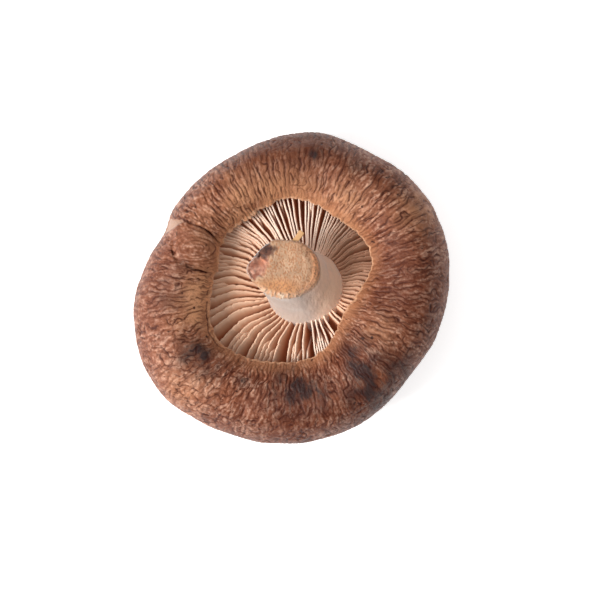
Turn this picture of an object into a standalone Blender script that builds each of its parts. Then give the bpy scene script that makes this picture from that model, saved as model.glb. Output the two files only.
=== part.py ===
"""Shiitake mushroom, cut from its log and lying on its crown with the gills up.

It is one fruiting body with three organs, each a solid of its own: the cap,
whose rim rolls in over the gills, the ring of gills that stands on the cap's
flesh, and the stem, cut off short and leaning.

Metres, +Z up. The origin is the middle of the flat spot on the crown that the
mushroom rests on. Sizes below are in millimetres and degrees, and the degrees
run anticlockwise from +X.
"""

from math import atan2, cos, degrees, exp, hypot, pi, radians, sin

import bmesh
import bpy

MM = 0.001
GAP = 0.3  # air between two neighbouring solids

# Seen from above, the rim's outline and the edge of its lip as (degrees, distance from the middle).
RIM_OUTLINE = (
    (0, 35.1), (38, 36.1), (60, 34.8), (80, 34.9), (100, 33.3), (122, 31.9), (146, 31.8), (158, 30.8),
    (170, 32.9), (190, 35.7), (217, 37.5), (242, 35.7), (275, 34.6), (300, 34.0), (322, 32.8), (345, 34.0),
)
LIP_OUTLINE = (
    (0, 15.0), (20, 18.3), (40, 18.8), (60, 18.3), (80, 19.4), (95, 19.6), (112, 18.4), (130, 18.0),
    (150, 18.0), (165, 17.0), (180, 17.6), (200, 19.0), (215, 19.3), (235, 18.1), (255, 17.1), (275, 16.3),
    (295, 15.1), (315, 13.5), (330, 12.9), (345, 13.5),
)

# The cap's section. Every section is turned round first, with the lip and the rim at these radii,
# and then each point moves to its place between the real outlines.
ROUND_LIP = 17.5
ROUND_RIM = 35.0
ROUND_ROLL = ROUND_RIM - ROUND_LIP

# A point of the hollow or the roll is (share of the way from lip to rim, height), and a point of the
# crown is (share of the way from the middle to the rim, height).
REST_RADIUS = 9.0
WIDEST_HEIGHT = 13.2
FLESH_TOP = 9.0
LIP_HEIGHT = 17.3
HOLLOW = ((0.0, FLESH_TOP), (0.28, FLESH_TOP), (0.56, FLESH_TOP), (0.60, 10.2), (0.60, 13.2), (0.50, 15.0),
          (0.30, 16.0), (0.10, 16.6))
ROLL = ((0.0, LIP_HEIGHT), (0.04, 18.4), (0.14, 19.8), (0.28, 21.1), (0.45, 22.0), (0.62, 22.1), (0.78, 20.9),
        (0.91, 18.1), (0.98, 15.6), (1.0, WIDEST_HEIGHT))
CROWN = ((0.985, 11.0), (0.93, 8.3), (0.84, 5.8), (0.72, 3.5), (0.58, 1.7), (0.42, 0.5))
FOLD_AT = 158
FOLD_HALF_WIDTH = 9
FOLD_DEPTH = 1.6
CAP_STEPS = 96

# The stem leans: its axis bends from its foot in the gills to the middle of its cut end.
STEM_FOOT = (3.6, -0.8, FLESH_TOP + GAP)
STEM_CUT = (-1.8, 4.4, 24.3)
STEM_SECTION = ((0, 24.3), (6.6, 24.3), (7.1, 23.8), (7.2, 21.5), (7.3, 18.0), (7.8, 15.5), (8.5, 13.6),
                (8.8, 11.5), (8.9, 9.3), (0, 9.3))
STEM_STEPS = 48

# The gills are one ring of upright plates, crowded towards one side of the cap.
GILLS = 74
STEPS_PER_GILL = 4  # two of them on the gill, two in the groove
CROWDED_TOWARDS = 65
CROWDING = 0.45
GROOVE_SHARE = 0.22  # the height of the web between two gills, as a share of a gill's height
GILL_UNDER_RIM = ((0.50, 9.3), (0.545, 10.6), (0.545, 12.9), (0.46, 14.4), (0.27, 15.2), (0.0, 15.7))
GILL_INSIDE = ((0.55, 15.0), (0.0, 13.6))  # the share of the way from stem to lip, then height
STEM_CLEARANCE = 0.45


def srgb(red, green, blue):
    """A colour of 0-255 values as Blender's linear RGBA."""
    def linear(value):
        value /= 255
        return value / 12.92 if value <= 0.04045 else ((value + 0.055) / 1.055) ** 2.4
    return (linear(red), linear(green), linear(blue), 1)


def make_material(name, colour, roughness):
    material = bpy.data.materials.new(name)
    material.use_nodes = True
    shader = material.node_tree.nodes["Principled BSDF"]
    shader.inputs["Base Color"].default_value = colour
    shader.inputs["Roughness"].default_value = roughness
    shader.inputs["Metallic"].default_value = 0
    return material


def outline_at(outline, azimuth):
    """The outline's distance at an azimuth, on a smooth closed curve through its points."""
    azimuth %= 360
    count = len(outline)
    after = next((i for i, (angle, _) in enumerate(outline) if angle > azimuth), count)

    def point(i):
        angle, distance = outline[i % count]
        return angle + 360 * (i // count), distance

    (a0, d0), (a1, d1), (a2, d2), (a3, d3) = (point(after + shift) for shift in (-2, -1, 0, 1))
    t = (azimuth - a1) / (a2 - a1)
    slope1 = (d2 - d0) / (a2 - a0) * (a2 - a1)
    slope2 = (d3 - d1) / (a3 - a1) * (a2 - a1)
    return (
        d1 * (2 * t**3 - 3 * t**2 + 1)
        + slope1 * (t**3 - 2 * t**2 + t)
        + d2 * (3 * t**2 - 2 * t**3)
        + slope2 * (t**3 - t**2)
    )


def between(outer_share, azimuth):
    """The distance that lies this share of the way from the lip to the rim."""
    lip = outline_at(LIP_OUTLINE, azimuth)
    return lip + outer_share * (outline_at(RIM_OUTLINE, azimuth) - lip)


def turned(name, section, steps, closed, collection):
    """A section of (radius, height) points turned about Z, as a mesh object whose modifier is applied."""
    links = [(i, i + 1) for i in range(len(section) - 1)]
    if closed:
        links.append((len(section) - 1, 0))
    mesh = bpy.data.meshes.new(name)
    mesh.from_pydata([(radius * MM, 0, height * MM) for radius, height in section], links, [])
    obj = bpy.data.objects.new(name, mesh)
    collection.objects.link(obj)
    screw = obj.modifiers.new("Turn", "SCREW")
    screw.steps = steps
    screw.render_steps = steps
    screw.use_merge_vertices = True
    screw.merge_threshold = 0.00001
    bpy.context.view_layer.update()
    evaluated = obj.evaluated_get(bpy.context.evaluated_depsgraph_get())
    obj.data = bpy.data.meshes.new_from_object(evaluated)
    obj.modifiers.clear()
    bpy.data.meshes.remove(mesh)
    return obj


def reshape(obj, section, place):
    """Moves each vertex of a turned object to place(index in the section, azimuth)."""
    for vertex in obj.data.vertices:
        x, y, z = vertex.co / MM
        radius = hypot(x, y)
        index = min(
            range(len(section)), key=lambda i: hypot(section[i][0] - radius, section[i][1] - z)
        )
        azimuth = degrees(atan2(y, x)) if radius > 0.01 else 0.0
        vertex.co = [value * MM for value in place(index, azimuth)]


def finish(obj, material):
    """Faces out, smooth, and in its material."""
    cage = bmesh.new()
    cage.from_mesh(obj.data)
    bmesh.ops.recalc_face_normals(cage, faces=cage.faces)
    cage.to_mesh(obj.data)
    cage.free()
    obj.data.shade_smooth()
    obj.data.set_sharp_from_angle(angle=radians(40))
    obj.data.materials.clear()
    obj.data.materials.append(material)


def roll_swell(azimuth):
    """How much taller or lower than the mean the rolled rim stands at an azimuth."""
    turn = radians(azimuth)
    return 1 + 0.045 * sin(2 * turn + 0.6) + 0.03 * sin(3 * turn + 2.1) + 0.02 * sin(7 * turn)


def fold_dip(share, azimuth):
    """How far the fold in the rim sinks its crest."""
    off = ((azimuth - FOLD_AT + 180) % 360 - 180) / FOLD_HALF_WIDTH
    return FOLD_DEPTH * exp(-off * off) * sin(pi * share)


def make_cap(collection):
    """The turned cap: along the flesh in the hollow, up under the lip, over the roll and down to the crown."""
    places = [("axis", 0.0, FLESH_TOP)]
    places += [("rim", share, height) for share, height in HOLLOW + ROLL]
    places += [("crown", share, height) for share, height in CROWN]
    places += [("crown", REST_RADIUS / ROUND_RIM, 0.0), ("axis", 0.0, 0.0)]
    section = [
        (ROUND_LIP + share * ROUND_ROLL if kind == "rim" else share * ROUND_RIM, height)
        for kind, share, height in places
    ]
    cap = turned("cap", section, CAP_STEPS, False, collection)

    def place(index, azimuth):
        kind, share, height = places[index]
        if kind == "axis":
            return 0.0, 0.0, height
        if kind == "rim":
            distance = between(share, azimuth)
            if height > LIP_HEIGHT - GAP:
                height = WIDEST_HEIGHT + (height - WIDEST_HEIGHT) * roll_swell(azimuth)
                height -= fold_dip(share, azimuth)
        else:
            distance = share * outline_at(RIM_OUTLINE, azimuth)
        turn = radians(azimuth)
        return distance * cos(turn), distance * sin(turn), height

    reshape(cap, section, place)
    finish(cap, make_material("cap_skin", srgb(134, 88, 67), 0.55))
    return cap


def stem_axis(height):
    """The middle of the stem at a height: it leaves the gills upright and then leans."""
    rise = (height - STEM_FOOT[2]) / (STEM_CUT[2] - STEM_FOOT[2])
    lean = max(rise, 0.0) ** 1.2
    return tuple(STEM_FOOT[i] + lean * (STEM_CUT[i] - STEM_FOOT[i]) for i in range(2))


def stem_radius(height):
    """The stem's mean radius at a height, between the points of its section."""
    side = [point for point in STEM_SECTION if point[0] > 0]
    for (upper_radius, upper), (lower_radius, lower) in zip(side, side[1:]):
        if lower <= height < upper:
            share = (height - lower) / (upper - lower)
            return lower_radius + share * (upper_radius - lower_radius)
    return side[-1][0]


def make_stem(collection):
    stem = turned("stem", STEM_SECTION, STEM_STEPS, False, collection)

    def place(index, azimuth):
        radius, height = STEM_SECTION[index]
        axis_x, axis_y = stem_axis(height)
        rise = (height - STEM_FOOT[2]) / (STEM_CUT[2] - STEM_FOOT[2])
        turn = radians(azimuth)
        wide = radius * (1 + 0.05 * rise)
        deep = radius * (1 - 0.10 * rise)
        return axis_x + wide * cos(turn), axis_y + deep * sin(turn), height

    reshape(stem, STEM_SECTION, place)
    finish(stem, make_material("stem_flesh", srgb(204, 169, 141), 0.8))
    return stem


def crowded(azimuth):
    """Shifts an even azimuth so that the gills stand closer together on one side."""
    towards = radians(CROWDED_TOWARDS)
    even = radians(azimuth)
    shifted = even
    for _ in range(40):
        shifted = even - CROWDING * (sin(shifted - towards) + sin(towards))
    return degrees(shifted)


def make_gills(collection):
    """A turned ring whose sections are full height on a gill and low in the groove between two."""
    round_stem = 8.0
    places = [("under", share, height) for share, height in GILL_UNDER_RIM]
    places += [("inside", share, height) for share, height in GILL_INSIDE]
    places += [("inside", 0.0, FLESH_TOP + GAP)]
    section = [
        (ROUND_LIP + share * ROUND_ROLL if kind == "under"
         else round_stem + share * (ROUND_LIP - round_stem), height)
        for kind, share, height in places
    ]
    steps = GILLS * STEPS_PER_GILL
    gills = turned("gills", section, steps, True, collection)
    foot = FLESH_TOP + GAP

    def place(index, azimuth):
        kind, share, height = places[index]
        step = round(azimuth / 360 * steps) % steps
        if step % STEPS_PER_GILL >= STEPS_PER_GILL // 2:
            height = foot + (height - foot) * GROOVE_SHARE
        azimuth = crowded(azimuth)
        turn = radians(azimuth)
        if kind == "under":
            distance = between(share, azimuth)
            return distance * cos(turn), distance * sin(turn), height
        lip = outline_at(LIP_OUTLINE, azimuth)
        axis = stem_axis(height)
        radius = stem_radius(height) + STEM_CLEARANCE
        x, y = (
            (1 - share) * (axis[i] + radius * way) + share * lip * way
            for i, way in enumerate((cos(turn), sin(turn)))
        )
        return x, y, height

    reshape(gills, section, place)
    finish(gills, make_material("gill_flesh", srgb(163, 117, 91), 0.7))
    return gills


def clear_scene():
    for obj in list(bpy.data.objects):
        bpy.data.objects.remove(obj, do_unlink=True)


def main():
    clear_scene()
    collection = bpy.data.collections.new("shiitake_mushroom")
    bpy.context.scene.collection.children.link(collection)
    make_cap(collection)
    make_gills(collection)
    make_stem(collection)


main()
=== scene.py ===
"""A shiitake mushroom on a white table, gills up, seen from straight above.

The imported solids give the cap's outlines, the stem's place and the gill ring's size.
Metres, +Z up; azimuths run anticlockwise from +X.
"""

import bpy
import numpy as np
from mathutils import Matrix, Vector


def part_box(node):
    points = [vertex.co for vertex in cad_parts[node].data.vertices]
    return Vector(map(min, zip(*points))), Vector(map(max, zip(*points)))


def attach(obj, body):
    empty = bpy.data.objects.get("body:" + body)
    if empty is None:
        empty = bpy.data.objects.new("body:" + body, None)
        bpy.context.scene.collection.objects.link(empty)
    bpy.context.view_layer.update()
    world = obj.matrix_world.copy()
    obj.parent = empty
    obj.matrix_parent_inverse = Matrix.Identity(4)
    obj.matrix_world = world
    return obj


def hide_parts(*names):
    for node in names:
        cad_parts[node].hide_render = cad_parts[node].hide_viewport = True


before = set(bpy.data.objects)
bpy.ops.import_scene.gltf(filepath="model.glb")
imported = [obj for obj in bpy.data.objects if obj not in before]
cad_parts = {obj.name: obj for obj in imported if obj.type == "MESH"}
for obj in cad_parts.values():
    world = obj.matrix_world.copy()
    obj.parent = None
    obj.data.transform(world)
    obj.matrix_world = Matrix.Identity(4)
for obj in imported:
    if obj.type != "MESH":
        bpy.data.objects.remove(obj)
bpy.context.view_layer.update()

# ---- Table, light and camera ---------------------------------------------------------------
# A matt white table top, with a little light of its own so that it stays white. A soft box stands
# low at the left and a large one hangs overhead. The camera looks straight down, +Y upwards.

MM = 0.001
TABLE_WIDTH = 3.0
VIEW_WIDTH = 134 * MM
VIEW_CENTRE = (1.8 * MM, -2.8 * MM)
VIEW_LEVEL = 13 * MM
CAMERA_RISE = 0.5
SENSOR_WIDTH = 36.0


def principled(name):
    """A new material and its shader node."""
    material = bpy.data.materials.new(name)
    material.use_nodes = True
    return material, material.node_tree.nodes["Principled BSDF"]


def srgb(red, green, blue):
    """A colour given as 0-255 values, as Blender's linear RGBA."""
    parts = np.array((red, green, blue)) / 255
    linear = np.where(parts <= 0.04045, parts / 12.92, ((parts + 0.055) / 1.055) ** 2.4)
    return (*linear.tolist(), 1.0)


def area_light(name, azimuth, elevation, distance, size, watts, colour):
    """A square soft box that faces the mushroom."""
    lamp = bpy.data.lights.new(name, "AREA")
    lamp.size = size
    lamp.energy = watts
    lamp.color = colour
    light = bpy.data.objects.new(name, lamp)
    bpy.context.scene.collection.objects.link(light)
    turn, rise = np.radians((azimuth, elevation))
    light.location = (
        distance * np.cos(rise) * np.cos(turn),
        distance * np.cos(rise) * np.sin(turn),
        distance * np.sin(rise),
    )
    light.rotation_euler = (-light.location).to_track_quat("-Z", "Y").to_euler()


area_light(
    "soft_box", azimuth=198, elevation=40, distance=0.55, size=0.22, watts=3.5, colour=(1.0, 0.97, 0.94)
)
area_light(
    "overhead_box", azimuth=60, elevation=80, distance=0.9, size=0.9, watts=3.2, colour=(1.0, 1.0, 1.0)
)

studio = bpy.data.worlds.new("studio")
studio.use_nodes = True
studio_walls = studio.node_tree.nodes["Background"]
studio_walls.inputs["Color"].default_value = (1.0, 1.0, 1.0, 1.0)
studio_walls.inputs["Strength"].default_value = 0.16
bpy.context.scene.world = studio

bpy.ops.mesh.primitive_plane_add(size=TABLE_WIDTH, location=(0, 0, 0))
table = bpy.context.object
table.name = "table_top"
table_white, table_shader = principled("table_white")
table_shader.inputs["Base Color"].default_value = (0.93, 0.93, 0.93, 1.0)
table_shader.inputs["Roughness"].default_value = 0.9
table_shader.inputs["Emission Color"].default_value = (1.0, 1.0, 1.0, 1.0)
table_shader.inputs["Emission Strength"].default_value = 0.62
table.data.materials.append(table_white)

camera = bpy.data.objects.new("camera", bpy.data.cameras.new("camera"))
bpy.context.scene.collection.objects.link(camera)
camera.data.sensor_width = SENSOR_WIDTH
camera.data.lens = SENSOR_WIDTH * CAMERA_RISE / VIEW_WIDTH
camera.location = (*VIEW_CENTRE, VIEW_LEVEL + CAMERA_RISE)
bpy.context.scene.camera = camera
bpy.context.scene.view_settings.view_transform = "Standard"

# ---- Cap -----------------------------------------------------------------------------------
# One domed body of pale flesh under a brown leathery skin. The rim has curled in and down over
# the gills to a thin ragged lip, and drying has creased the skin into a net of radial wrinkles.

COLUMNS = 1080
LIP_RAY_HEIGHT = 17.3 * MM
WIDEST_HEIGHT = 13.2 * MM
OUTLINE_WAVES = 40
ROUND_LIP = 17.5
ROUND_RIM = 35.0
FLESH_TOP = 9.0
HOLLOW_MIDDLE = 4.0
CURVE_SAMPLES = 60
# The section in millimetres: (share of the way from lip to rim, height), and for the crown
# (share of the way from middle to rim, height).
HOLLOW = ((0.20, 9.0), (0.56, 9.0), (0.60, 10.2), (0.60, 13.2), (0.50, 15.0), (0.30, 16.1), (0.10, 16.7),
          (0.02, 16.9))
ROLL = ((0.0, 17.3), (0.02, 17.8), (0.06, 18.5), (0.14, 19.7), (0.28, 21.1), (0.45, 22.0), (0.60, 22.0),
        (0.76, 20.8), (0.89, 18.3), (0.97, 15.6))
CROWN = ((1.0, 13.2), (0.985, 10.8), (0.93, 8.0), (0.84, 5.4), (0.72, 3.2), (0.58, 1.5), (0.42, 0.45),
         (0.26, 0.0), (0.12, 0.0))
ROW_STEP_ROLL = 0.2
ROW_STEP_CROWN = 0.3
ROW_STEP_HIDDEN = 1.0


def wall_distance(node, turn, height, inwards):
    """How far a CAD wall stands from the middle on one side at one height, met from inside or outside."""
    way = Vector((np.cos(turn), np.sin(turn), 0))
    start = way * (0.1 if inwards else 0) + Vector((0, 0, height))
    found, place, _, _ = node.ray_cast(start, -way if inwards else way)
    return place.xy.length if found else 0.0


def low_waves(distances, waves):
    """A closed outline without its waves shorter than a turn / waves."""
    spectrum = np.fft.rfft(distances)
    spectrum[waves:] = 0
    return np.fft.irfft(spectrum, len(distances))


def gradient_noise(points, seed):
    """Smooth noise of about -1 to 1 at an array of points, one lump per unit of length."""
    directions = np.random.default_rng(seed).normal(size=(4096, 3))
    directions /= np.linalg.norm(directions, axis=1)[:, None]
    cell = np.floor(points).astype(np.int64)
    part = points - cell
    fade = part**3 * (part * (part * 6 - 15) + 10)
    total = np.zeros(points.shape[:-1])
    for corner in range(8):
        step = np.array([corner & 1, corner >> 1 & 1, corner >> 2 & 1])
        at = cell + step
        key = (at[..., 0] * 73856093 ^ at[..., 1] * 19349663 ^ at[..., 2] * 83492791) & 4095
        weight = np.prod(np.where(step, fade, 1 - fade), axis=-1)
        total += weight * (directions[key] * (part - step)).sum(-1)
    return total * 1.6


def cell_borders(across, along, around, seed):
    """Each point's distance from the border of its cell, in a jittered grid of `around` cells a turn."""
    column = np.floor(across).astype(np.int64)
    row = np.floor(along).astype(np.int64)
    jitter = np.random.default_rng(seed).random((around, 512, 2))
    nearest = np.full(across.shape, 9.0)
    second = np.full(across.shape, 9.0)
    for column_step in (-1, 0, 1):
        for row_step in (-1, 0, 1):
            seat = jitter[(column + column_step) % around, (row + row_step) % 512]
            distance = np.hypot(
                column + column_step + seat[..., 0] - across, row + row_step + seat[..., 1] - along
            )
            second = np.minimum(second, np.maximum(nearest, distance))
            nearest = np.minimum(nearest, distance)
    return second - nearest


def smooth_step(value, low, high):
    """0 below low, 1 above high, and an even slope between."""
    share = np.clip((value - low) / (high - low), 0, 1)
    return share * share * (3 - 2 * share)


def through_points(points, samples):
    """A smooth curve through points: `samples` places on each stretch, as an array."""
    points = np.array(points, float)
    padded = np.vstack((2 * points[0] - points[1], points, 2 * points[-1] - points[-2]))
    t = np.linspace(0, 1, samples, endpoint=False)[:, None]
    stretches = [
        0.5 * (2 * b + (c - a) * t + (2 * a - 5 * b + 4 * c - d) * t**2 + (3 * b - a - 3 * c + d) * t**3)
        for a, b, c, d in zip(padded, padded[1:], padded[2:], padded[3:])
    ]
    return np.vstack((*stretches, points[-1:]))


def cap_section():
    """The cap's rows from crown to hollow: is it on the roll, its share, height, distance from the lip."""
    inner = [(ROUND_LIP + share * (ROUND_RIM - ROUND_LIP), height) for share, height in HOLLOW + ROLL]
    outer = [(share * ROUND_RIM, height) for share, height in CROWN]
    curve = through_points([(HOLLOW_MIDDLE, FLESH_TOP), *inner, *outer], CURVE_SAMPLES)
    length = np.concatenate(([0], np.cumsum(np.linalg.norm(np.diff(curve, axis=0), axis=1))))
    lip_at = length[CURVE_SAMPLES * (1 + len(HOLLOW))]
    rim_at = length[CURVE_SAMPLES * (1 + len(HOLLOW) + len(ROLL))]
    under_lip = lip_at - 2.0
    rows = np.concatenate((
        np.arange(0, under_lip, ROW_STEP_HIDDEN),
        np.arange(under_lip, rim_at, ROW_STEP_ROLL),
        np.arange(rim_at, length[-1], ROW_STEP_CROWN),
    ))[::-1]
    radius = np.interp(rows, length, curve[:, 0])
    height = np.interp(rows, length, curve[:, 1])
    is_roll = rows < rim_at
    share = np.where(is_roll, (radius - ROUND_LIP) / (ROUND_RIM - ROUND_LIP), radius / ROUND_RIM)
    return is_roll, share, height * MM, (rows - lip_at) * MM


def grid_mesh(name, points, first_pole, last_pole):
    """A closed mesh of rows of points that run round, with a single point at each end."""
    rows, columns, _ = points.shape
    vertices = np.vstack((points.reshape(-1, 3), first_pole, last_pole))
    here = np.arange(columns)
    beside = (here + 1) % columns
    row = np.arange(rows - 1)[:, None] * columns
    quads = np.stack((row + here, row + beside, row + columns + beside, row + columns + here), -1)
    first = np.stack((np.full(columns, rows * columns), beside, here), -1)
    base = (rows - 1) * columns
    last = np.stack((np.full(columns, rows * columns + 1), base + here, base + beside), -1)
    mesh = bpy.data.meshes.new(name)
    faces = quads.reshape(-1, 4).tolist() + first.tolist() + last.tolist()
    mesh.from_pydata(vertices.tolist(), [], faces)
    mesh.shade_smooth()
    return mesh


def disc_map(mesh, columns, radii):
    """A flat map of a grid mesh for painted finishes: rows as rings of a disc, the last row inmost."""
    angles = np.linspace(0, 2 * np.pi, columns, endpoint=False)
    rings = 0.5 + radii[:, None, None] * np.stack((np.cos(angles), np.sin(angles)), -1)
    angles = angles + np.pi / columns
    outside_disc = 0.5 + (radii[0] + 0.006) * np.stack((np.cos(angles), np.sin(angles)), -1)
    corner = np.empty(len(mesh.loops), np.int32)
    mesh.loops.foreach_get("vertex_index", corner)
    places = np.vstack((rings.reshape(-1, 2), (0.5, 0.5), (0.5, 0.5)))[corner]
    places[4 * (len(radii) - 1) * columns + 3 * np.arange(columns)] = outside_disc
    mesh.uv_layers.new(name="OFBake").data.foreach_set("uv", places.ravel().astype(np.float32))


def row_normals(points):
    """The outward normal at each point of rows that run round."""
    along = np.gradient(points, axis=0)
    around = np.roll(points, -1, axis=1) - np.roll(points, 1, axis=1)
    normals = np.cross(around, along)
    return normals / np.maximum(np.linalg.norm(normals, axis=-1, keepdims=True), 1e-12)


def set_mask(mesh, name, values, pole_values=(0.0, 0.0)):
    """A number for each vertex, which the material reads by name."""
    layer = mesh.attributes.new(name, "FLOAT", "POINT")
    layer.data.foreach_set("value", np.concatenate((values.ravel(), pole_values)).astype(np.float32))


cap_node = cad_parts["cap"]
turns = np.linspace(0, 2 * np.pi, COLUMNS, endpoint=False)
lip_found = np.array([wall_distance(cap_node, turn, LIP_RAY_HEIGHT, False) for turn in turns])
rim_found = np.array([wall_distance(cap_node, turn, WIDEST_HEIGHT, True) for turn in turns])
lip = low_waves(lip_found, OUTLINE_WAVES)
rim = low_waves(rim_found, OUTLINE_WAVES)
is_roll, share, height, from_lip = cap_section()
roll_distance = lip + share[:, None] * (rim - lip)
crown_distance = share[:, None] * rim
distance = np.where(is_roll[:, None], roll_distance, crown_distance)
cap_points = np.stack((
    distance * np.cos(turns),
    distance * np.sin(turns),
    np.broadcast_to(height[:, None], distance.shape),
), -1)
outside = row_normals(cap_points)

mm_from_middle = distance / MM
degrees_round = np.broadcast_to(np.degrees(turns), distance.shape)
mm_from_lip = from_lip[:, None] / MM
on_top = smooth_step(mm_from_lip, -0.5, 0.5)


def stretched_noise(lumps_around, lump_length, wobble, seed):
    """Noise whose lumps are drawn out from lip to crown and closed round the cap."""
    ring = lumps_around / (2 * np.pi)
    turned_by = turns + wobble / lumps_around * 2 * np.pi
    along = mm_from_lip / lump_length + 0.5 * wobble
    return gradient_noise(np.stack((np.cos(turned_by) * ring, np.sin(turned_by) * ring, along), -1), seed)


def strokes(count, wander):
    """Millimetres from the nearest of many wavy lines that run from lip to crown."""
    phase = turns / (2 * np.pi) * count + wander
    return np.abs(phase - np.round(phase)) * 2 * np.pi * mm_from_middle / count


def ridge(distance_off, width):
    """1 on a line, fading with distance from it."""
    return np.exp(-((distance_off / width) ** 2))


def off_curve(radii, azimuths):
    """Millimetres round the cap from a crease that runs through (radius, azimuth) points."""
    return np.radians(degrees_round - np.interp(mm_from_middle, radii, azimuths)) * mm_from_middle


def blot(x, y, size):
    """1 at a place on the cap, fading with distance."""
    here = cap_points / MM
    return np.exp(-((here[..., 0] - x) ** 2 + (here[..., 1] - y) ** 2) / size**2)


# The wrinkles: wavy strokes in four sizes that cross at small angles, calmer towards the back, and
# a net of cells where the skin is loose. Pads of skin swell between them, and streaks colour them;
# the swollen pads are also painted lighter, a painted highlight.
NET_CELLS_ROUND = 96
NET_CELL_LENGTH = 2.6
drift = gradient_noise(cap_points / (3.0 * MM), 2)
swerve = gradient_noise(cap_points / (2.2 * MM), 12)
ripple = gradient_noise(cap_points / (0.9 * MM), 3)
patchy = gradient_noise(cap_points / (5 * MM), 7)
calm = 1 - 0.45 * smooth_step(cap_points[..., 1] / MM, -6, 16)
first_strokes = strokes(150, calm * (1.0 * drift + 0.16 * ripple))
second_strokes = strokes(112, calm * (1.15 * swerve - 0.4 * drift + 0.14 * ripple))
fine_strokes = strokes(290, 1.1 * drift - 1.2 * swerve + 0.35 * ripple)
bold_strokes = strokes(88, calm * (0.9 * swerve + 0.3 * drift + 0.15 * ripple))
unbent = np.zeros_like(drift)
breaks = stretched_noise(90, 3.2, 0.6 * drift, 4)
bold_breaks = stretched_noise(58, 4.5, 0.6 * drift, 21)
other_breaks = stretched_noise(90, 2.6, 0.6 * swerve, 5)
net_across = turns / (2 * np.pi) * NET_CELLS_ROUND + 0.55 * drift + 0.30 * ripple
net_along = mm_from_lip / NET_CELL_LENGTH + 0.6 * swerve + 40
net = cell_borders(net_across, net_along, NET_CELLS_ROUND, 6)
loose = patchy + 1.0 * blot(-20, -26, 11) + 0.8 * blot(4, -30, 12) + 0.5 * blot(28, -20, 9)
netted = smooth_step(loose, 0.05, 0.6)
near_lip = smooth_step(mm_from_lip, 0.6, 5.0)
on_crown = smooth_step(mm_from_lip, 26, 38)
first_crease = ridge(first_strokes, 0.15) * smooth_step(breaks + 0.3 * ripple, -0.30, 0.25)
second_crease = ridge(second_strokes, 0.12) * smooth_step(other_breaks + 0.3 * ripple, -0.15, 0.35)
fine_crease = ridge(fine_strokes, 0.09) * smooth_step(breaks - other_breaks, -0.4, 0.5)
bold_crease = ridge(bold_strokes, 0.21) * smooth_step(bold_breaks + 0.3 * ripple, 0, 0.4)
net_crease = ridge(net, 0.085) * netted
first_crease = first_crease * (1 - 0.5 * netted)
second_crease = second_crease * (1 - 0.4 * netted)
creases = np.maximum(first_crease, 0.9 * second_crease)
creases = np.maximum(creases, np.maximum(0.5 * fine_crease, net_crease))
creases = np.maximum(0.92 * creases, bold_crease)
creases = creases * (0.50 + 0.50 * near_lip) * (1 - 0.75 * on_crown)
pads = np.sqrt(np.minimum(1, first_strokes / 0.40)) + 0.7 * np.sqrt(np.minimum(1, second_strokes / 0.45))
pads = pads + 0.25 * np.sqrt(np.minimum(1, fine_strokes / 0.22))
pads = pads + 0.6 * netted * smooth_step(net, 0, 0.4)
pads = pads * (1 - 0.8 * on_crown)
streaks = 0.34 * stretched_noise(330, 1.8, 0.8 * drift, 17)
streaks = streaks + 0.26 * stretched_noise(120, 4.0, 0.5 * swerve, 18)
streaks = streaks + 0.22 * gradient_noise(cap_points / (0.55 * MM), 20) + 0.10 * ripple

# The fold at the left: two creases run in from a nick in the rim, and a smooth cheek bulges between.
# At the nick the skin has torn and bares pale flesh.
upper = off_curve((17.3, 21, 24, 27.7, 30.5, 33), (151, 146.5, 146.5, 148, 150, 151)) + 0.2 * drift
lower = off_curve((18, 21.7, 25.5, 27.3, 28.5, 33), (171, 169.3, 168.3, 164, 159, 156)) + 0.3 * swerve
in_fold = smooth_step(mm_from_lip, 0.0, 3.0) * (1 - smooth_step(mm_from_lip, 17, 23))
cheek = smooth_step(upper, -0.3, 2.4) * (1 - smooth_step(lower, -2.8, 0.1)) * in_fold
upper_crease = ridge(upper, 0.24) * in_fold
lower_crease = ridge(lower, 0.22) * in_fold * smooth_step(breaks + 0.8 * ripple, -0.5, 0.3)
lobe = smooth_step(lower, -0.8, 0.9) * np.exp(-np.maximum(lower, 0) / 6) * in_fold
torn_teeth = 0.35 * stretched_noise(330, 2.0, unbent, 19) + 0.25 * ripple
torn = smooth_step(mm_from_middle, 27.2, 27.9) * smooth_step(upper + torn_teeth, -0.1, 0.2)
torn = torn * (1 - smooth_step(upper - 1.25 * (mm_from_middle - 27.5), -0.3, 0.2))
torn = torn * (1 - smooth_step(mm_from_lip, 21, 25)) * smooth_step(mm_from_lip, 2, 4)
ring_about = np.hypot(cap_points[..., 0] / MM + 21.0, (cap_points[..., 1] / MM - 8.6) / 0.55)
stretch_lines = (0.5 + 0.5 * np.sin(4.9 * ring_about + 1.5 * drift + 0.8 * ripple)) ** 6 * cheek
stretch_lines = stretch_lines * smooth_step(ring_about, 0.5, 2.0) * (0.6 + 0.8 * swerve)

# The lip: thin, torn into small teeth at the back left, with a crease beside it at the left.
teeth = stretched_noise(75, 3.0, unbent, 8) + 0.7 * stretched_noise(170, 3.0, unbent, 9)
fringe = ridge(degrees_round - 126, 26)
ragged = 0.26 + 0.50 * fringe
at_lip = ridge(mm_from_lip, 0.9)
lip_crease_round = smooth_step(degrees_round, 172, 186) * (1 - smooth_step(degrees_round, 214, 226))
lip_crease = ridge(mm_from_lip - 1.3 - 0.8 * drift - 0.2 * ripple, 0.2) * lip_crease_round
lip_crease = lip_crease * smooth_step(patchy + 0.6 * ripple, -0.7, 0.0)

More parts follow.
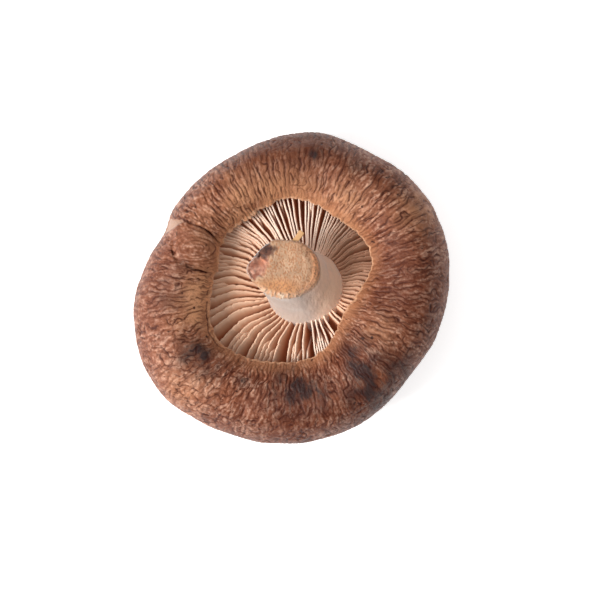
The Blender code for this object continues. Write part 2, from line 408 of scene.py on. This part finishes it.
# The relief, in millimetres outwards, and then the fold's own rise.
smooth_skin = 1 - 0.85 * cheek - 0.9 * torn
relief = 0.062 * pads * (0.5 + 0.5 * near_lip) - 0.10 * creases - 0.09 * bold_crease + 0.05 * streaks
lift = 0.28 * gradient_noise(cap_points / (8 * MM), 1) + 0.10 * drift
lift = lift + on_top * smooth_skin * relief
lift = lift - 0.06 * stretch_lines - 0.30 * lip_crease
above_hollow = smooth_step(height / MM, 9.2, 10.5)[:, None]
off_table = smooth_step(height / MM, 0.0, 1.5)[:, None]
cap_points = cap_points + outside * (lift * MM * above_hollow * off_table * (mm_from_lip > -6))[..., None]
inwards = -np.stack((np.cos(turns), np.sin(turns), 0 * turns), -1)
cap_points = cap_points + inwards * (ragged * teeth * at_lip * MM)[..., None]
sunk = 0.5 * upper_crease + 0.35 * lower_crease + 0.9 * torn
cap_points[..., 2] += (0.7 * cheek + 0.6 * lobe - sunk) * MM
cap_points[..., 2] = np.maximum(cap_points[..., 2], 0)

# Where the skin is bruised grey, browner or paler: (x, y, size, strength), in millimetres. The browner
# places also hold painted shade, the paler ones painted light.
bruised = sum(strength * blot(x, y, size) for x, y, size, strength in (
    (0.5, -22.5, 4.8, 1.1), (17.5, -22.5, 5.2, 1.1), (14.3, -15.0, 3.8, 0.9), (-18.5, -16.5, 3.2, 0.7),
    (-21.5, -12.5, 2.6, 0.5), (-23.0, -16.0, 3.6, 0.5), (-26.0, -1.0, 4.0, 0.4), (4.7, 29.0, 1.1, 1.0),
    (-10.8, -20.7, 1.3, 0.9), (6.0, -24.0, 3.5, 0.7), (-24.0, 5.5, 3.0, 0.3), (14.5, 26.5, 2.0, 0.35),
    (23.5, -17.5, 3.6, 0.6),
))
bruised = np.clip(bruised * (0.85 + 0.9 * drift + 1.4 * streaks), 0, 1)
specks = smooth_step(gradient_noise(cap_points / (1.3 * MM), 10), 0.70, 0.80) * on_top
# Darker outwards from the roll: partly the skin's own darker tone, partly painted shade on the slope that
# turns down and away from the lamps.
outer_slope = smooth_step(mm_from_lip, 8, 19)
# Browner places: darker skin, and at the top outer rim and the right also painted shade where the slope
# turns from the lamps.
browner_and_painted_shade = sum(strength * blot(x, y, size) for x, y, size, strength in (
    (2, 31, 9, 0.75), (-10, 29, 6, 0.4), (24, 6, 7, 0.55), (20, -4, 6, 0.35), (0, -31, 9, 0.55),
    (16, -26, 7, 0.5), (-29, -3, 6, 0.3), (-14, -28, 5, 0.2), (30, -6, 7, 0.45),
))
browner_and_painted_shade = np.clip(browner_and_painted_shade * (1 + 0.5 * drift + 0.3 * streaks), 0, 1)
# Paler places: lighter skin, and on the inner slope at the left also painted light where the slope lies in
# shade from the soft box.
paler_and_painted_light = sum(strength * blot(x, y, size) for x, y, size, strength in (
    (-19.5, -4, 6, 0.9), (-18.5, -1, 4, 0.9), (28, 17, 5, 0.6), (-24, -22, 6, 0.4), (-1, 22, 7, 0.7),
    (-11, 20, 6, 0.6), (12, 19, 5, 0.5), (-19, 12, 5, 0.3), (20, -9, 4, 0.4),
))
paler_and_painted_light = np.clip(paler_and_painted_light * (1 + 0.8 * drift + 0.5 * streaks), 0, 1)

# The crease mask: the skin's own darker lines in the wrinkles, with painted shade in them, in the fold's
# two creases and in the crease beside the lip.
all_creases = creases * smooth_skin + 0.5 * upper_crease + 0.5 * lower_crease + 0.8 * lip_crease
lip_reach = mm_from_lip + 0.35 * teeth - fringe * (0.6 + 0.9 * ripple)
cap_mesh = grid_mesh("cap_skin", cap_points, (0, 0, 0), (0, 0, FLESH_TOP * MM))
for name, values in (
    ("crease", np.clip(all_creases, 0, 1)),
    ("stretch", np.clip(1.6 * stretch_lines, 0, 1)),
    ("browner_and_painted_shade", browner_and_painted_shade),
    ("paler_and_painted_light", paler_and_painted_light),
    # The streak mask also lifts the swollen pads towards its pale end: a painted highlight on them.
    ("streak_and_pad_highlight", np.clip(0.5 + streaks + 0.16 * smooth_skin * (pads - 1.45), 0, 1)),
    ("flesh", 1 - smooth_step(mm_from_lip, -0.8, -0.3)),
    ("outer_slope", outer_slope),
    ("lip", 1 - smooth_step(lip_reach, 0.2, 0.7)),
    ("bruise", bruised),
    ("torn", torn),
    ("speck", specks),
    ("crown", on_crown),
    ("near_lip", 0.75 * (1 - near_lip) * (1 + 0.4 * drift + 0.3 * streaks)),
):
    set_mask(cap_mesh, name, np.broadcast_to(values, distance.shape))
reach = mm_from_lip[:, 0]
cap_rings = np.interp(reach, (reach[-1], -1, 26, reach[0]), (0.10, 0.14, 0.34, 0.485))
disc_map(cap_mesh, COLUMNS, cap_rings)
cap = bpy.data.objects.new("cap_skin", cap_mesh)
bpy.context.scene.collection.objects.link(cap)


def mix_colour(tree, factor, first, second):
    """A node that goes from the first colour to the second as factor goes from 0 to 1."""
    mix = tree.nodes.new("ShaderNodeMix")
    mix.data_type = "RGBA"
    for socket, value in ((mix.inputs[0], factor), (mix.inputs[6], first), (mix.inputs[7], second)):
        if isinstance(value, bpy.types.NodeSocket):
            tree.links.new(value, socket)
        else:
            socket.default_value = value
    return mix.outputs[2]


def mask(tree, name):
    """The mesh's own number by this name."""
    node = tree.nodes.new("ShaderNodeAttribute")
    node.attribute_name = name
    return node.outputs["Fac"]


def noise(tree, scale, detail=3.0, roughness=0.6):
    """Blender's noise at a scale in lumps per metre, from 0 to 1."""
    node = tree.nodes.new("ShaderNodeTexNoise")
    node.inputs["Scale"].default_value = scale
    node.inputs["Detail"].default_value = detail
    node.inputs["Roughness"].default_value = roughness
    place = tree.nodes.new("ShaderNodeNewGeometry")
    tree.links.new(place.outputs["Position"], node.inputs["Vector"])
    return node.outputs["Fac"]


def ramp(tree, factor, stops):
    """Colours along a 0-1 number."""
    node = tree.nodes.new("ShaderNodeValToRGB")
    tree.links.new(factor, node.inputs["Fac"])
    elements = node.color_ramp.elements
    while len(elements) < len(stops):
        elements.new(0.5)
    for element, (position, colour) in zip(elements, stops):
        element.position = position
        element.color = colour
    return node.outputs["Color"]


def skin_material():
    """Brown hide: streaked along the wrinkles, tan at the lip, darker outwards, greyed where bruised.
    Painted highlight on the pads, painted shade in the creases, on the outer slope and in some browner
    places, and painted light in some paler places.
    """
    material, shader = principled("brown_skin")
    tree = material.node_tree
    # Dark to pale along the streaks; the palest end also serves as the painted highlight on the pads.
    colour = ramp(tree, mask(tree, "streak_and_pad_highlight"), (
        (0.18, srgb(100, 52, 34)), (0.5, srgb(157, 99, 74)), (0.80, srgb(222, 172, 146)),
    ))
    warm = ramp(tree, noise(tree, 190), ((0.52, (0, 0, 0, 1)), (0.72, (0.45, 0.45, 0.45, 1))))
    colour = mix_colour(tree, warm, colour, srgb(164, 94, 58))
    mottle = ramp(tree, noise(tree, 1300), ((0.38, (0.6, 0.6, 0.6, 1)), (0.60, (0, 0, 0, 1))))
    colour = mix_colour(tree, mottle, colour, srgb(112, 60, 41))
    colour = mix_colour(tree, mask(tree, "near_lip"), colour, srgb(190, 132, 96))
    # Paler: lighter skin with painted light on slopes that lie in shade.
    colour = mix_colour(tree, mask(tree, "paler_and_painted_light"), colour, srgb(216, 156, 116))
    # Outer slope darker: the skin's own tone there and painted shade where it faces away from the lamps.
    outer = tree.nodes.new("ShaderNodeMath")
    outer.operation = "MULTIPLY"
    outer.inputs[1].default_value = 0.35
    tree.links.new(mask(tree, "outer_slope"), outer.inputs[0])
    colour = mix_colour(tree, outer.outputs[0], colour, srgb(108, 60, 41))
    # Browner: darker skin with painted shade in it.
    colour = mix_colour(tree, mask(tree, "browner_and_painted_shade"), colour, srgb(94, 46, 28))
    colour = mix_colour(tree, mask(tree, "bruise"), colour, srgb(62, 46, 44))
    colour = mix_colour(tree, mask(tree, "crown"), colour, srgb(86, 52, 38))
    # Dark red-brown along the creases: their own darker skin and painted shade in them.
    colour = mix_colour(tree, mask(tree, "crease"), colour, srgb(64, 22, 12))
    colour = mix_colour(tree, mask(tree, "stretch"), colour, srgb(112, 66, 46))
    colour = mix_colour(tree, mask(tree, "speck"), colour, srgb(66, 38, 30))
    colour = mix_colour(tree, mask(tree, "torn"), colour, srgb(176, 140, 120))
    colour = mix_colour(tree, mask(tree, "lip"), colour, srgb(212, 164, 130))
    colour = mix_colour(tree, mask(tree, "flesh"), colour, srgb(196, 132, 98))
    tree.links.new(colour, shader.inputs["Base Color"])
    shader.inputs["Roughness"].default_value = 0.40
    shader.inputs["Specular IOR Level"].default_value = 0.15
    bump = tree.nodes.new("ShaderNodeBump")
    bump.inputs["Strength"].default_value = 0.8
    bump.inputs["Distance"].default_value = 0.0002
    tree.links.new(noise(tree, 1900, 4.0, 0.7), bump.inputs["Height"])
    tree.links.new(bump.outputs["Normal"], shader.inputs["Normal"])
    return material


cap_mesh.materials.append(skin_material())
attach(cap, "root")
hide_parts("cap")

# ---- Gills ---------------------------------------------------------------------------------
# Thin pale plates of flesh that stand on the cap from the stem to under the rim. Their free edges
# are wavy and chipped, and all but the crowded ones at the back lean over like turned pages.

GILLS = 82
CROWDED_TOWARDS = np.radians(45)
CROWDING = 0.30
# (azimuth, lean) in degrees: a lean above 0 is anticlockwise round the cap.
LEANS = (
    (0, 45), (20, 38), (40, 25), (58, 10), (75, 2), (108, 0), (125, -10), (145, -21), (165, -31),
    (190, -41), (215, -46), (240, -40), (262, -28), (280, -13), (295, 5), (308, 24), (320, 38), (336, 44),
    (360, 45),
)
# The least gap between free edges, measured midway from stem to lip.
SMALLEST_GAP = 0.42 * MM
MIDWAY = 14 * MM
GILL_FOOT = 8.8 * MM
PLATE_HEIGHT = 6.3 * MM
GILL_ROWS = 72
ROWS_UNDER_RIM = 14
STEM_JOIN_HEIGHT = 13.6 * MM
SHORT_GILL_CHANCE = 0.3
# Where the gills are splayed apart with more short ones between, and where the stem's shadow is painted on
# them, in degrees.
SPLAYED_AROUND = 292
SPLAYED_WIDTH = 24
STEM_SHADOW_AROUND = 15
STEM_SHADOW_WIDTH = 32
STRIPS_ACROSS = 9
UP_THE_PLATE = np.array((0, 0.25, 0.45, 0.6, 0.72, 0.82, 0.9, 0.96, 1.0))

stem_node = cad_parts["stem"]
gill_random = np.random.default_rng(11)


def stem_middle(height):
    """The middle of the CAD stem at a height."""
    east, north, west, south = (
        wall_distance(stem_node, quarter * np.pi / 2, height, False) for quarter in range(4)
    )
    return np.array(((east - west) / 2, (north - south) / 2))


def around(values, azimuths):
    """Values known once per column of the cap, read at any azimuths."""
    return np.interp(azimuths % (2 * np.pi), np.append(turns, 2 * np.pi), np.append(values, values[0]))


def crowded_azimuths(even):
    """Evenly spread azimuths moved closer together towards one side."""
    shifted = even.copy()
    for _ in range(40):
        shifted = even - CROWDING * (np.sin(shifted - CROWDED_TOWARDS) + np.sin(CROWDED_TOWARDS))
    return shifted


def leans(azimuths):
    """How far each plate leans, in radians."""
    degrees, lean = np.transpose(LEANS)
    drift = gradient_noise(np.stack((np.cos(azimuths) * 3, np.sin(azimuths) * 3, 0 * azimuths), -1), 12)
    lean = np.interp(np.degrees(azimuths) % 360, degrees, lean) + 3 * drift
    return np.radians(lean + 2.0 * gill_random.normal(size=len(azimuths)))


def kept_apart(azimuths, lean):
    """The leans, changed as little as keeps neighbouring free edges from touching."""
    edge = azimuths * MIDWAY + PLATE_HEIGHT * np.sin(lean)
    for _ in range(60):
        gap = np.diff(edge, append=edge[0] + 2 * np.pi * MIDWAY)
        push = np.maximum(0, SMALLEST_GAP - gap) / 2
        edge = edge - push + np.roll(push, 1)
    return np.arcsin(np.clip((edge - azimuths * MIDWAY) / PLATE_HEIGHT, -0.7, 0.7))


def gill_plate(azimuth, lean, number, inner_share):
    """One plate as rows of points round its section, and the masks of its points."""
    way = np.array((np.cos(azimuth), np.sin(azimuth)))
    middle = stem_middle_at_join
    inner = middle + (stem_join_radius - 0.5 * MM) * way
    lip_here, rim_here = around(lip, azimuth), around(rim, azimuth)
    outer = (lip_here + 0.55 * (rim_here - lip_here)) * way
    length = np.linalg.norm(outer - inner)
    visible = (lip_here - np.linalg.norm(inner)) / length + 0.04
    in_view = np.linspace(0, visible, GILL_ROWS - ROWS_UNDER_RIM)
    under_rim = np.linspace(visible, 1, ROWS_UNDER_RIM + 1)[1:]
    share = inner_share + (1 - inner_share) * np.concatenate((in_view, under_rim))
    along = (outer - inner) / length
    aside = np.array((-along[1], along[0]))

    # The height: a little lower at the stem, chipped along the free edge, tapering off under the rim.
    run = share * length
    rough = np.stack((run / (0.75 * MM), np.full_like(run, number * 7.3), 0 * run), -1)
    slow = np.stack((run / (4.5 * MM), np.full_like(run, number * 0.45), 0 * run), -1)
    leaning = min(1, abs(lean) / 0.6)
    chips = (0.10 + 0.35 * leaning) * MM * np.maximum(0, gradient_noise(rough, 13))
    chips = chips + (0.12 + 0.12 * leaning) * MM * gradient_noise(slow, 14)
    tall = PLATE_HEIGHT * (0.80 + 0.20 * smooth_step(share, 0, 0.3)) - chips
    tall = tall * (1 - 0.55 * smooth_step(share, 0.72, 1.0))
    if inner_share > 0:
        tall = tall * smooth_step(share, inner_share - 0.02, inner_share + 0.22)
    tall = np.maximum(tall, 0.3 * MM)

    # The lean, which starts small at the stem, and the wavy and bowed bend of the free edge.
    straight = 0.5 + 0.5 * np.cos(azimuth)
    root_share = 0.45 + 0.35 * straight
    tilt = lean * (root_share + (1 - root_share) * smooth_step(share, 0, 0.35))
    tilt = tilt * (1 - 0.4 * smooth_step(share, 0.8, 1))
    bend = (0.12 + 0.16 * leaning) * MM * gradient_noise(slow + 5, 15)
    bend = bend + (0.03 + 0.08 * leaning) * MM * gradient_noise(rough * 0.6, 16)
    bow = np.sin(np.pi * np.clip(share / 0.9, 0, 1))
    curl = (0.8 - 0.7 * straight) * MM * bow * np.sign(lean) * leaning

    # The section, thick at the foot and thin at the free edge.
    thick = (0.17 + 0.22 * (1 - UP_THE_PLATE)) * MM
    ring_height = np.concatenate((UP_THE_PLATE, [1.015], UP_THE_PLATE[::-1]))
    ring_side = np.concatenate((-thick, [0], thick[::-1]))
    rise = ring_height[None, :] * tall[:, None]
    sideways = rise * np.sin(tilt)[:, None] + (bend + curl)[:, None] * ring_height**1.5
    sideways = sideways + ring_side * np.cos(tilt)[:, None]
    flat = inner + run[:, None] * along
    points = np.empty((*rise.shape, 3))
    points[..., :2] = flat[:, None, :] + sideways[..., None] * aside
    points[..., 2] = GILL_FOOT + rise * np.cos(tilt)[:, None] - ring_side * np.sin(tilt)[:, None]
    # The stem's painted shadow on the gills, strongest at its middle azimuth.
    from_stem_shadow = (np.degrees(azimuth) - STEM_SHADOW_AROUND + 180) % 360 - 180
    painted_stem_shadow = 0.6 * ridge(from_stem_shadow, STEM_SHADOW_WIDTH)
    masks = [np.broadcast_to(value, rise.shape).ravel() for value in (ring_height, 1 - leaning, painted_stem_shadow)]
    return points, masks


def joined_grids(name, grids):
    """One mesh of many closed bodies, each of rows of points that run round with flat ends."""
    vertices, faces, places, start = [], [], [], 0
    down = -(-len(grids) // STRIPS_ACROSS)
    for number, points in enumerate(grids):
        rows, columns, _ = points.shape
        here = np.arange(columns)
        beside = (here + 1) % columns
        row = start + np.arange(rows - 1)[:, None] * columns
        quads = np.stack((row + here, row + columns + here, row + columns + beside, row + beside), -1)
        faces += quads.reshape(-1, 4).tolist()
        faces.append((start + here).tolist())
        faces.append((start + (rows - 1) * columns + here[::-1]).tolist())
        vertices.append(points.reshape(-1, 3))
        start += rows * columns
        side_columns = (here[:, None] + np.array((0, 0, 1, 1)))[None]
        side_rows = np.arange(rows - 1)[:, None, None] + np.array((0, 1, 1, 0))
        sides = np.stack(np.broadcast_arrays(side_columns / columns, side_rows / (rows - 1)), -1)
        strip = np.vstack((
            sides.reshape(-1, 2),
            np.column_stack((here / columns, np.zeros(columns))),
            np.column_stack((here[::-1] / columns, np.ones(columns))),
        ))
        seat = np.array((number % STRIPS_ACROSS, number // STRIPS_ACROSS))
        places.append((seat + 0.03 + 0.94 * strip) / (STRIPS_ACROSS, down))
    mesh = bpy.data.meshes.new(name)
    mesh.from_pydata(np.vstack(vertices).tolist(), [], faces)
    mesh.uv_layers.new(name="OFBake").data.foreach_set("uv", np.vstack(places).ravel().astype(np.float32))
    mesh.shade_smooth()
    return mesh


stem_middle_at_join = stem_middle(STEM_JOIN_HEIGHT)
stem_join_radius = np.mean([
    wall_distance(stem_node, quarter * np.pi / 2, STEM_JOIN_HEIGHT, False) for quarter in range(4)
])
even = (np.arange(GILLS) + 0.5 + 0.22 * gill_random.uniform(-1, 1, GILLS)) / GILLS * 2 * np.pi
gill_azimuths = crowded_azimuths(even)
gill_leans = kept_apart(gill_azimuths, leans(gill_azimuths))
plates = [gill_plate(azimuth, lean, number, 0.0)
          for number, (azimuth, lean) in enumerate(zip(gill_azimuths, gill_leans))]
for number in range(GILLS):
    splayed = ridge(np.degrees(gill_azimuths[number]) % 360 - SPLAYED_AROUND, SPLAYED_WIDTH)
    following = (number + 1) % GILLS
    gap = (gill_azimuths[following] - gill_azimuths[number]) % (2 * np.pi)
    between = (1 / 3, 2 / 3) if splayed > 0.45 else (1 / 2,)
    for part_way in between:
        if gill_random.random() < SHORT_GILL_CHANCE + 0.6 * splayed:
            azimuth = gill_azimuths[number] + part_way * gap
            lean = gill_leans[number] + part_way * (gill_leans[following] - gill_leans[number])
            inner_share = gill_random.uniform(0.15, 0.4) * (1 - 0.6 * splayed)
            plates.append(gill_plate(azimuth, lean, number + part_way, inner_share))
gill_mesh = joined_grids("gills_of_the_cap", [points for points, _ in plates])
for number, name in enumerate(("height", "upright", "painted_stem_shadow")):
    set_mask(gill_mesh, name, np.concatenate([masks[number] for _, masks in plates]), ())
gills = bpy.data.objects.new("gill_plates", gill_mesh)
bpy.context.scene.collection.objects.link(gills)


def gill_material():
    """Pale flesh, darker and redder towards the foot, partly its own colour and partly painted shade
    between the plates, with near-white edges on upright plates as a painted highlight. A painted red glow
    low on the plates stands in for the little light that thin plates pass on, and the stem's shadow is
    painted on the gills to its right.
    """
    material, shader = principled("pale_gill_flesh")
    tree = material.node_tree
    # Darker and redder towards the foot: the flesh's own browner foot and painted shade in the deep gaps
    # between the plates.
    leaning = ramp(tree, mask(tree, "height"), (
        (0.0, srgb(96, 44, 24)),
        (0.55, srgb(156, 96, 66)),
        (0.82, srgb(208, 158, 126)),
        (0.94, srgb(234, 192, 162)),
    ))
    # On upright plates the free edge goes near white, a painted highlight where light catches the edges;
    # the foot is darker, painted shade in the gaps.
    upright = ramp(tree, mask(tree, "height"), (
        (0.0, srgb(110, 50, 28)),
        (0.5, srgb(176, 108, 74)),
        (0.88, srgb(212, 164, 134)),
        (0.96, srgb(248, 224, 206)),
    ))
    colour = mix_colour(tree, mask(tree, "upright"), leaning, upright)
    # Painted shadow of the stem: the gills to its right turn browner.
    colour = mix_colour(tree, mask(tree, "painted_stem_shadow"), colour, srgb(150, 88, 56))
    tree.links.new(colour, shader.inputs["Base Color"])
    shader.inputs["Roughness"].default_value = 0.6
    # A painted glow: red emission low on the plates stands in for light passing through and bouncing
    # between them.
    painted_red_glow = ramp(tree, mask(tree, "height"), ((0.3, (0.50, 0.12, 0.04, 1)), (0.9, (0, 0, 0, 1))))
    tree.links.new(painted_red_glow, shader.inputs["Emission Color"])
    shader.inputs["Emission Strength"].default_value = 0.10
    return material


gill_mesh.materials.append(gill_material())
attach(gills, "root")
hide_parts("gills")

# ---- Stem ----------------------------------------------------------------------------------
# A tough stalk of pale fibres, cut off short with a blade and leaning. Its end is dry and porous
# with a brown scar at one side, and its flank is soft, white and downy down to the gills.

STEM_COLUMNS = 360
STEM_ROWS = 110
CUT_ROWS = 56
STEM_FOOT_HEIGHT = 9.4 * MM


def stem_points():
    """Rows up the flank and then in over the cut end, and the cut's middle."""
    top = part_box("stem")[1][2]
    heights = np.linspace(STEM_FOOT_HEIGHT, top - 0.12 * MM, STEM_ROWS)
    stem_turns = np.linspace(0, 2 * np.pi, STEM_COLUMNS, endpoint=False)
    ways = np.stack((np.cos(stem_turns), np.sin(stem_turns)), -1)
    rows = []
    for height in heights:
        middle = stem_middle(height)
        radii = []
        for way in ways:
            _, place, _, _ = stem_node.ray_cast(Vector((*middle, height)), Vector((*way, 0)))
            radii.append(np.hypot(*(np.array(place.xy) - middle)))
        radii = low_waves(np.array(radii), 20)
        rows.append(np.column_stack((middle + ways * radii[:, None], np.full(STEM_COLUMNS, height))))
    middle = stem_middle(heights[-1])
    edge = rows[-1][:, :2] - middle
    for share in np.linspace(0.985, 0.02, CUT_ROWS):
        rows.append(np.column_stack((middle + edge * share, np.full(STEM_COLUMNS, top))))
    return np.stack(rows), middle


def spot(x, y, wide, deep=None):
    """1 at a place on the stem, fading with distance."""
    here = stem_surface / MM
    return np.exp(-(((here[..., 0] - x) / wide) ** 2) - (((here[..., 1] - y) / (deep or wide)) ** 2))


# What the surface shows, from 0 to 1 at each point: pores, crumbs, scar, dimple and grey patch.
stem_surface, cut_middle = stem_points()
outward = row_normals(stem_surface)
outward[STEM_ROWS + 1:] = (0, 0, 1)
rows_to_edge = (np.arange(len(stem_surface)) - STEM_ROWS + 0.5)[:, None] + np.zeros(STEM_COLUMNS)
soft_side = smooth_step(stem_surface[..., 0] / MM, 0, 5)
on_cut = smooth_step(rows_to_edge + 5 * soft_side, -10, -4)
grain = gradient_noise(stem_surface / np.array((0.7, 1.1, 2.5)) / MM, 21)
down = gradient_noise(stem_surface / (0.35 * MM), 22)
pits = smooth_step(gradient_noise(stem_surface / np.array((0.30, 0.44, 0.5)) / MM, 23), -0.1, 0.45)
swell = gradient_noise(stem_surface / (4 * MM), 24)
crumbs = np.maximum(0, gradient_noise(stem_surface / (0.55 * MM), 25))
near_edge = ridge(rows_to_edge + 2, 6)
frayed_places = np.maximum(spot(-4.0, -1.8, 3.6, 2.0), 0.6 * spot(2.0, -2.6, 1.8, 1.2))
frayed = np.clip(near_edge * frayed_places * (0.6 + 0.8 * grain), 0, 1)
scar = smooth_step(spot(-8.2, 4.8, 3.4, 3.4) + 0.15 * grain, 0.35, 0.6) * on_cut
grey = smooth_step(spot(-6.6, 8.4, 3.4, 2.4) + 0.25 * grain, 0.25, 0.65)
dimple = spot(-6.3, 5.7, 1.0, 1.2) * on_cut

# The relief, in millimetres outwards, a softly rounded right edge and a pointed left one.
lift = 0.30 * swell + 0.05 * grain + 0.03 * down * (1 - on_cut) - 0.05 * pits * on_cut * (1 - 0.7 * scar)
lift = lift - 0.2 * (1 - soft_side) * ridge(rows_to_edge, 3.5)
lift = lift - 0.6 * scar - 0.7 * dimple + 0.25 * scar * grain
lift = lift + 1.9 * frayed * crumbs - 0.5 * grey * on_cut
stem_surface = stem_surface + outward * (lift * MM)[..., None]
rounding = 0.6 * soft_side * (1 - smooth_step(rows_to_edge, 0, 18)) * smooth_step(rows_to_edge, -22, 0)
stem_surface[..., 2] -= rounding * MM
tip = smooth_step(rows_to_edge, -40, -4) * spot(-9.0, 3.6, 2.6)
stem_surface[..., 0] -= 1.3 * tip * MM

foot_middle = (*cut_middle, STEM_FOOT_HEIGHT)
end_middle = (*cut_middle, stem_surface[-1, :, 2].mean())
stem_mesh = grid_mesh("stem_skin", stem_surface, foot_middle, end_middle)
rightwards = (stem_surface[..., 0] + 0.4 * stem_surface[..., 1]) / MM
for name, values, at_poles in (
    ("cut", on_cut, (0.0, 1.0)),
    ("pits", pits, (0.0, 0.0)),
    ("scar", scar, (0.0, 0.0)),
    ("dimple", dimple, (0.0, 0.0)),
    ("grey", grey, (0.0, 0.0)),
    ("frayed", np.clip(frayed * 1.4, 0, 1), (0.0, 0.0)),
    ("orange_rim", ridge(rows_to_edge + 2, 9) * spot(6, 5, 5.5, 6.5), (0.0, 0.0)),
    ("orange_side", on_cut * smooth_step(spot(-3.0, -0.5, 6.5, 3.2), 0.3, 0.9), (0.0, 0.0)),
    # The right flank: pinker, and painted light where it turns away from the soft box.
    ("pink_side_painted_light", (1 - on_cut) * smooth_step(rightwards, 0, 7), (0.0, 0.0)),
):
    set_mask(stem_mesh, name, values, at_poles)
stem_reach = np.arange(STEM_ROWS + CUT_ROWS)
stem_rings = np.interp(stem_reach, (0, STEM_ROWS, stem_reach[-1]), (0.48, 0.27, 0.01))
disc_map(stem_mesh, STEM_COLUMNS, stem_rings)
stem = bpy.data.objects.new("cut_stem", stem_mesh)
bpy.context.scene.collection.objects.link(stem)


def stem_material():
    """White down on the flank, pinker on the right and painted lighter there as painted light; tan pores,
    an orange rim, a pink-brown scar and a grey patch on the cut.
    """
    material, shader = principled("pale_stem_flesh")
    tree = material.node_tree
    blotchy = ramp(tree, noise(tree, 500), ((0.35, srgb(180, 142, 112)), (0.65, srgb(206, 168, 136))))
    cut = mix_colour(tree, mask(tree, "orange_side"), blotchy, srgb(206, 146, 98))
    cut = mix_colour(tree, mask(tree, "orange_rim"), cut, srgb(238, 164, 112))
    cut = mix_colour(tree, mask(tree, "pits"), cut, srgb(178, 124, 86))
    scar_colour = ramp(tree, noise(tree, 900), ((0.4, srgb(150, 90, 68)), (0.6, srgb(198, 146, 124))))
    cut = mix_colour(tree, mask(tree, "scar"), cut, scar_colour)
    cut = mix_colour(tree, mask(tree, "dimple"), cut, srgb(196, 128, 98))
    # Pinker and much lighter on the right flank: painted light where the flank lies in shade.
    flank = mix_colour(tree, mask(tree, "pink_side_painted_light"), srgb(196, 174, 160), srgb(255, 214, 182))
    colour = mix_colour(tree, mask(tree, "cut"), flank, cut)
    grey_colour = ramp(tree, noise(tree, 1400), ((0.4, srgb(66, 34, 24)), (0.62, srgb(112, 68, 50))))
    colour = mix_colour(tree, mask(tree, "grey"), colour, grey_colour)
    colour = mix_colour(tree, mask(tree, "frayed"), colour, srgb(224, 196, 170))
    tree.links.new(colour, shader.inputs["Base Color"])
    shader.inputs["Roughness"].default_value = 0.85
    shader.inputs["Sheen Weight"].default_value = 0.7
    shader.inputs["Subsurface Weight"].default_value = 0.2
    shader.inputs["Subsurface Radius"].default_value = (1.0, 0.6, 0.4)
    shader.inputs["Subsurface Scale"].default_value = 0.0008
    return material


stem_mesh.materials.append(stem_material())
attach(stem, "root")
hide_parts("stem")

# ---- Sliver --------------------------------------------------------------------------------
# A thin tan sliver of the stem's flesh, which the blade left standing at the back of the cut.
# It leans out over the gills and is fast to the stem at its lower end.

SLIVER_START = np.array((0.0, 9.0, 23.0))
SLIVER_RUN = np.array((2.3, 3.2, 0.7))
SLIVER_ACROSS = np.array((0.83, -0.56, 0.0))
SLIVER_HALF_WIDTH = 0.85
SLIVER_HALF_THICKNESS = 0.16

sliver_share = np.linspace(0, 1, 24)
sliver_round = np.linspace(0, 2 * np.pi, 16, endpoint=False)
sliver_wide = SLIVER_HALF_WIDTH * (1 - 0.35 * sliver_share) * (1 + 0.15 * np.sin(9 * sliver_share))
sliver_line = SLIVER_START + sliver_share[:, None] * SLIVER_RUN
sliver_points = sliver_line[:, None, :] + (
    sliver_wide[:, None, None] * np.cos(sliver_round)[None, :, None] * SLIVER_ACROSS
    + SLIVER_HALF_THICKNESS * np.sin(sliver_round)[None, :, None] * np.array((0.0, 0.0, 1.0))
)
sliver_mesh = grid_mesh(
    "sliver_skin", sliver_points[:, ::-1] * MM, sliver_line[0] * MM, sliver_line[-1] * MM
)
sliver_flesh, sliver_shader = principled("tan_sliver_flesh")
sliver_shader.inputs["Base Color"].default_value = srgb(206, 160, 112)
sliver_shader.inputs["Roughness"].default_value = 0.8
disc_map(sliver_mesh, len(sliver_round), np.linspace(0.48, 0.05, len(sliver_share)))
sliver_mesh.materials.append(sliver_flesh)
sliver = bpy.data.objects.new("stem_sliver", sliver_mesh)
bpy.context.scene.collection.objects.link(sliver)
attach(sliver, "root")
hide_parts("stem")
